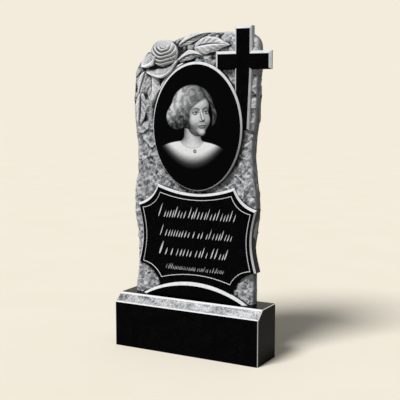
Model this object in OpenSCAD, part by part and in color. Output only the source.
// Upright carved headstone on a low plinth. Two stones: the plinth, and the stele that stands on it.
// Millimetres. The origin is the middle of the plinth's underside, the front looks along -Y, Z is up.

/* [Plinth] */
// Length of the plinth, left to right
plinth_l = 600; // [520:5:800]
// Depth of the plinth, front to back
plinth_d = 150; // [125:5:200]
// Height of the plinth
plinth_h = 200; // [120:5:260]
// How far the front chamfer reaches back from the front face
chamfer_d = 40; // [15:1:50]
// How far the front chamfer reaches down from the top
chamfer_h = 32; // [10:1:80]

/* [Slab] */
// Width of the rock-edged slab at its widest
slab_w = 512; // [420:4:620]
// Sideways place of the slab's middle
slab_x = -9; // [-12:1:12]
// Thickness of the slab from its back to its polished faces
slab_t = 80; // [65:1:95]
// Height of the slab's crown above the plinth
slab_h = 960; // [860:5:1160]
// How far right of the slab's middle the crown is
crown_x = 120; // [60:5:140]
// Drop from the crown to where the left shoulder starts
left_drop = 120; // [60:5:160]
// Drop from the crown to where the right shoulder starts
right_drop = 75; // [40:5:120]
// How far the rough ground lies behind the polished faces
ground_depth = 14; // [8:1:20]
// Height of the swells in the rough ground
rock_relief = 5; // [0:0.5:7]
// Depth of the hollows pitched along the side edges
edge_wave = 17; // [0:1:20]
// Distance between two hollows along a side edge
edge_period = 380; // [200:10:500]
// Rounding of the slab's front and back edges
edge_round = 12; // [4:1:20]

/* [Raised panels] */
// How far the oval and the arch stand in front of the tablet and the cross
proud = 8; // [4:1:12]
// Width of the bevel around the oval, the tablet and the cross
bevel = 10; // [5:0.5:12]
// How far right of the slab's middle the oval is
oval_shift = 27; // [0:1:30]
// Half width of the oval's polished face
oval_a = 174; // [140:1:180]
// Half height of the oval's polished face
oval_b = 223; // [180:1:230]
// Drop from the crown to the oval's centre
oval_drop = 323; // [300:1:340]
// How far right of the slab's middle the tablet is
tablet_shift = 18; // [0:1:20]
// How far the tablet's upper and lower tips stay inside half the slab's width
tip_in = 8; // [6:1:30]
// The same for the tablet's waist
waist_in = 28; // [20:1:50]
// The same for the tablet's upper peaks
peak_in = 96; // [80:1:120]
// The same for the place where the tablet runs down into the arch
foot_in = 101; // [85:1:125]
// Height of the tablet's peaks above the plinth
tablet_top = 422; // [400:1:440]
// Sag of the tablet's top edge between the peaks
tablet_sag = 30; // [10:1:40]
// Height of the tablet's upper tips above the plinth
upper_tip_z = 346; // [330:1:360]
// Height of the tablet's lower tips above the plinth
lower_tip_z = 119; // [110:1:140]
// Depth of the scoops at the tablet's corners
scoop = 16; // [6:1:20]
// How far right of the slab's middle the arch is
arch_shift = 13.5; // [0:0.5:20]
// How far the arch's ends stay inside half the slab's width
arch_in = 37; // [25:1:60]
// Rise of the arch at the foot
arch_rise = 63; // [40:1:80]
// Width of the broad bevel along the arch
arch_bevel = 17; // [8:1:20]

/* [Cross] */
// Distance from the slab's right edge in to the middle of the shaft
cross_in = 46; // [40:1:60]
// Width of the cross's polished bars
cross_bar = 44; // [30:1:50]
// Length of the polished cross-bar
cross_span = 197; // [150:1:200]
// Drop from the crown to the middle of the cross-bar
cross_bar_drop = 88; // [80:1:100]
// Height of the polished shaft's top above the crown
cross_rise = 21; // [0:1:120]
// Drop from the crown to the foot of the shaft
cross_foot_drop = 322; // [250:1:340]
// Thickness of the cross's overhanging bars
cross_t = 28; // [18:1:40]

/* [Carving] */
// Distance from the slab's left edge in to the rose's middle
rose_in = 143; // [130:1:160]
// Drop from the crown to the rose's middle
rose_drop = 57; // [50:1:70]
// Half width of the rose
rose_a = 58; // [45:1:65]
// Half height of the rose
rose_b = 49; // [38:1:52]
// How far the rose stands in front of the rough ground
rose_rise = 26; // [14:1:30]
// How far the leaves stand in front of the rough ground
leaf_rise = 13; // [6:1:18]
// Distance between two petals of the rose
petal_step = 11; // [8:0.5:12]
// Radius of a rolled petal rim
petal_r = 5.5; // [3:0.5:7]

/* [Hidden] */

base_z = plinth_h;
back_y = plinth_d / 2;
face_y = back_y - slab_t;
ground_y = face_y + ground_depth;
root_y = face_y + slab_t / 2;
half_w = slab_w / 2;
crown_z = base_z + slab_h;
oval_centre = [slab_x + oval_shift, crown_z - oval_drop];
cross_x = slab_x + half_w - cross_in;
carving_corner = [slab_x - half_w, crown_z];
rose_centre = carving_corner + [rose_in, -rose_drop];
sink = 60;
lower_scoop_h = 72;
panel_seg = 14;
left_phase = 308;
right_phase = 298;
slab_columns = 22;
slab_rows = 36;
oval_points = 72;
rose_wide = 1.15;
petals = 6;
petal_seg = 8;

// ---- small helpers: all outlines are lists of [x, z] seen from the front ----

function unit(v) = v / norm(v);
function normal(v) = [-v[1], v[0]];
function lerp(a, b, t) = a + (b - a) * t;

// Moves a closed anticlockwise outline inwards by d, with mitred corners.
function inset(pts, d) =
    let (n = len(pts))
    [for (i = [0 : n - 1])
        let (
            before = normal(unit(pts[i] - pts[(i + n - 1) % n])),
            after = normal(unit(pts[(i + 1) % n] - pts[i]))
        )
        pts[i] + d * (before + after) / (1 + before * after)];

// Points from a to b along a shallow arc that bows by sag to the left of the direction of travel.
// The end point is left out, so that stretches can be joined.
function bow(a, b, sag, steps) =
    [for (i = [0 : steps - 1])
        let (t = i / steps)
        lerp(a, b, t) + 4 * t * (1 - t) * sag * normal(unit(b - a))];

function ellipse(a, b, centre, steps) =
    [for (i = [0 : steps - 1])
        centre + [a * cos(360 * i / steps), b * sin(360 * i / steps)]];

// Places an [x, z] point of the front view at depth y.
function at_y(p, y) = [p[0], y, p[1]];

// Joins rings with the same number of points into one closed solid.
// The rings run anticlockwise seen from the front, and the first is the deepest.
module loft(rings) {
    n = len(rings[0]);
    last = len(rings) - 1;
    sides = [for (r = [0 : last - 1]) for (i = [0 : n - 1])
        let (j = (i + 1) % n)
        [r * n + i, (r + 1) * n + i, (r + 1) * n + j, r * n + j]];
    deep_cap = [for (i = [0 : n - 1]) i];
    front_cap = [for (i = [n - 1 : -1 : 0]) last * n + i];
    polyhedron(
        points = [for (ring = rings) for (p = ring) p],
        faces = concat(sides, [deep_cap], [front_cap])
    );
}

// A panel with a flat polished face inside its outline and a sloping bevel down to that outline.
module panel(outline, front_y, width, drop, deep_y) {
    loft([
        [for (p = outline) at_y(p, deep_y)],
        [for (p = outline) at_y(p, front_y + drop)],
        [for (p = inset(outline, width)) at_y(p, front_y)]
    ]);
}

// A round ridge along a list of [x, y, z] points.
module ridge(path, r) {
    for (i = [0 : len(path) - 2])
        hull() {
            translate(path[i]) sphere(r, $fn = 8);
            translate(path[i + 1]) sphere(r, $fn = 8);
        }
}

// ---- the slab ----

// Half width of the slab at height z above the plinth: pitched hollows follow a slow wave.
function half_width(z, phase) = half_w - edge_wave * (1 + sin(360 * z / edge_period + phase)) / 2;

// Top of the slab at x: two quarters of different fullness that meet at the crown.
function top_quarter(u, drop, power) = slab_h - drop + drop * pow(1 - pow(u, power), 1 / power);
function slab_top(x) =
    x < crown_x
        ? top_quarter(min(1, (crown_x - x) / (crown_x + half_w)), left_drop, 2)
        : top_quarter(min(1, (x - crown_x) / (half_w - crown_x)), right_drop, 3.4);

// Slow swells of the rock-pitched ground.
function rock(x, z) =
    rock_relief * (sin(3.1 * x + 50 * sin(2.3 * z)) * sin(3.7 * z + 60 * sin(1.9 * x))
        + 0.5 * sin(6.1 * x + 4.7 * z));

// 0 in the middle of a side and 1 at its edge, rising only over the last stretch.
function edge_fall(u, stretch) = pow(max(0, (abs(u) - 1 + stretch) / stretch), 2);

function slab_point(u, t, front) =
    let (
        x0 = u * half_w,
        z = t * slab_top(x0),
        x = u * (u < 0 ? half_width(z, left_phase) : half_width(z, right_phase)),
        fall = edge_round * max(edge_fall(u, 0.14), edge_fall(t, 0.05)),
        calm = (1 - edge_fall(u, 0.2)) * min(1, 8 * (1 - t), 12 * t)
    )
    [slab_x + x, front ? ground_y + fall + calm * rock(x, z) : back_y - fall, base_z + z];

// One ring around the slab: across the front, then back behind.
function slab_ring(t) =
    concat(
        [for (i = [0 : slab_columns]) slab_point(2 * i / slab_columns - 1, t, true)],
        [for (i = [slab_columns : -1 : 0]) slab_point(2 * i / slab_columns - 1, t, false)]
    );

module slab() {
    n = 2 * (slab_columns + 1);
    rings = [for (j = [0 : slab_rows]) slab_ring(j / slab_rows)];
    walls = [for (j = [0 : slab_rows - 1]) for (i = [0 : n - 1])
        let (k = (i + 1) % n)
        [j * n + i, (j + 1) * n + i, (j + 1) * n + k, j * n + k]];
    strips = [for (i = [0 : slab_columns - 1]) [i, i + 1, n - 2 - i, n - 1 - i]];
    top = slab_rows * n;
    lid = [for (s = strips) [for (k = [3 : -1 : 0]) top + s[k]]];
    polyhedron(
        points = [for (ring = rings) for (p = ring) p],
        faces = concat(walls, strips, lid)
    );
}

// ---- polished panels ----

function oval_outline(grow) =
    ellipse(oval_a + bevel + grow, oval_b + bevel + grow, oval_centre, oval_points);

module oval() {
    panel(oval_outline(0), face_y - proud, bevel, proud + 2, root_y);
}

// The tablet: a sagging top, scooped corners, hollow sides and scooped feet, mirrored left to right.
function tablet_half(side) = [
    [side * (half_w - foot_in), base_z - sink],
    [side * (half_w - foot_in), base_z + lower_tip_z - lower_scoop_h],
    [side * (half_w - tip_in), base_z + lower_tip_z],
    [side * (half_w - waist_in), base_z + (lower_tip_z + upper_tip_z) / 2],
    [side * (half_w - tip_in), base_z + upper_tip_z],
    [side * (half_w - peak_in), base_z + tablet_top]
];

function waist_side(low, waist, high, steps) =
    [for (i = [0 : steps - 1])
        let (t = i / steps)
        [lerp(low[0], high[0], t) + (waist[0] - low[0]) * sin(180 * t), lerp(low[1], high[1], t)]];

function tablet_outline() =
    let (
        r = tablet_half(1),
        l = tablet_half(-1)
    )
    concat(
        [r[0]],
        bow(r[1], r[2], scoop, panel_seg),
        waist_side(r[2], r[3], r[4], panel_seg),
        bow(r[4], r[5], scoop, panel_seg),
        bow(r[5], l[5], tablet_sag, panel_seg),
        bow(l[5], l[4], scoop, panel_seg),
        [for (i = [0 : panel_seg - 1])
            let (p = waist_side(l[2], l[3], l[4], panel_seg))
            i == 0 ? l[4] : p[panel_seg - i]],
        bow(l[2], l[1], scoop, panel_seg),
        [l[1], l[0]]
    );

module tablet() {
    translate([slab_x + tablet_shift, 0, 0])
        panel(tablet_outline(), face_y, bevel, bevel, root_y);
}

// Keeps what stands above the plinth.
module above_plinth() {
    intersection() {
        children();
        translate([-plinth_l, -plinth_d, base_z])
            cube([2 * plinth_l, 2 * plinth_d, 2 * slab_h]);
    }
}

// The arch at the foot: a low segment of a circle with a broad bevel along its curve only.
function arch_outline() =
    let (
        half = half_w - arch_in,
        r = (half * half + arch_rise * arch_rise) / (2 * arch_rise),
        half_angle = asin(half / r),
        steps = 2 * panel_seg
    )
    concat(
        [[-half, base_z - sink], [half, base_z - sink]],
        [for (i = [0 : steps])
            let (a = lerp(half_angle, -half_angle, i / steps))
            [r * sin(a), base_z + arch_rise - r + r * cos(a)]]
    );

module arch() {
    translate([slab_x + arch_shift, 0, 0])
        panel(arch_outline(), face_y - proud, arch_bevel, proud + 1, root_y);
}

// ---- the cross ----

function cross_outline() =
    let (
        h = cross_bar / 2,
        s = cross_span / 2,
        foot = crown_z - cross_foot_drop,
        top = crown_z + cross_rise,
        mid = crown_z - cross_bar_drop
    )
    [
        [-h, foot], [h, foot],
        [h, mid - h], [s, mid - h], [s, mid + h], [h, mid + h],
        [h, top], [-h, top],
        [-h, mid + h], [-s, mid + h], [-s, mid - h], [-h, mid - h]
    ];

// The oval's rim cuts across the left side of the shaft.
module cross() {
    difference() {
        translate([cross_x, 0, 0])
            panel(inset(cross_outline(), -bevel), face_y, bevel, bevel, face_y + cross_t);
        loft([for (y = [back_y, face_y - 2 * proud]) [for (p = oval_outline(-1)) at_y(p, y)]]);
    }
}

// ---- leaves and rose ----

// A pointed leaf from root to tip, [x, z] from the slab's upper left corner. Its midrib bows by bend,
// and the blade reaches out by left and right of it, looking from root to tip.
module leaf(root, tip, bend, left, right, rise) {
    along = unit(tip - root);
    across = normal(along);
    steps = 10;
    sides = [1, 0.55, 0.08, -0.08, -0.55, -1];
    lift = [0, 0.85, 1, 0.72, 0.8, 0];
    edge_y = ground_y + 3;
    loft([
        for (i = [0 : steps])
            let (
                t = i / steps,
                swell = 0.02 + sin(180 * pow(t, 0.8)),
                mid = carving_corner + lerp(root, tip, t) + 4 * t * (1 - t) * bend * across
            )
            concat(
                [for (k = [0 : 5])
                    let (w = sides[k] > 0 ? left : right)
                    at_y(mid + sides[k] * w * swell * across, edge_y - rise * lift[k] * min(1, 1.6 * swell))],
                [at_y(mid - right * swell * across, root_y), at_y(mid + left * swell * across, root_y)]
            )
    ]);
}

// Height of the rose's dome above the rough ground at x, z from its middle.
function dome(x, z) =
    rose_rise * pow(max(0.02, 1 - pow(x / rose_a, 2) - pow(z / rose_b, 2)), 0.4);

// A rolled petal rim: an arc around the rose's mouth that lies on the dome.
module petal_rim(r, spread) {
    mouth_z = rose_b * 0.5;
    ridge([for (i = [0 : petal_seg])
        let (
            a = 270 + spread * (2 * i / petal_seg - 1),
            x = rose_wide * r * cos(a),
            z = mouth_z + r * sin(a)
        )
        [rose_centre[0] + x, ground_y + petal_r / 3 - dome(x, z), rose_centre[1] + z]], petal_r);
}

// The rose: a dome crossed by rims that nest like cups, and open outer petals at its left and below.
module rose() {
    translate(at_y(rose_centre, ground_y))
        scale([rose_a, rose_rise, rose_b])
            sphere(1, $fn = 20);
    for (k = [0 : petals - 1])
        petal_rim(petal_step * (k + 0.8), 82 - 5 * k);
    leaf([97, -40], [19, -102], 8, 16, 34, rose_rise - 8);
    leaf([43, -110], [207, -90], -30, 18, 20, rose_rise - 4);
}

module leaves() {
    leaf([203, -40], [325, 2], 6, 14, 14, leaf_rise);
    leaf([261, -34], [405, -30], 6, 26, 36, leaf_rise);
    leaf([189, -90], [305, -74], 18, 16, 16, leaf_rise);
    leaf([55, -130], [19, -212], 2, 12, 12, leaf_rise - 3);
    leaf([69, -126], [69, -264], -8, 34, 22, leaf_rise);
    leaf([35, -202], [25, -328], 0, 28, 20, leaf_rise);
}

// The stem that curls from the rose along the oval's bevel.
module stem() {
    a = oval_a + bevel + petal_r;
    b = oval_b + bevel + petal_r;
    ridge([for (angle = [114 : 6 : 144])
        at_y(oval_centre + [a * cos(angle), b * sin(angle)], ground_y - leaf_rise / 2)], petal_r);
}

// ---- the two stones ----

module plinth() {
    front = -plinth_d / 2;
    color("#17181a")
        translate([-plinth_l / 2, 0, 0])
            rotate([90, 0, 90])
                linear_extrude(plinth_l)
                    polygon([
                        [front, 0],
                        [-front, 0],
                        [-front, plinth_h],
                        [front + chamfer_d, plinth_h],
                        [front, plinth_h - chamfer_h]
                    ]);
}

module stele() {
    color("#8d9092")
        union() {
            slab();
            oval();
            above_plinth() {
                tablet();
                arch();
            }
            cross();
            rose();
            leaves();
            stem();
        }
}

plinth();
stele();
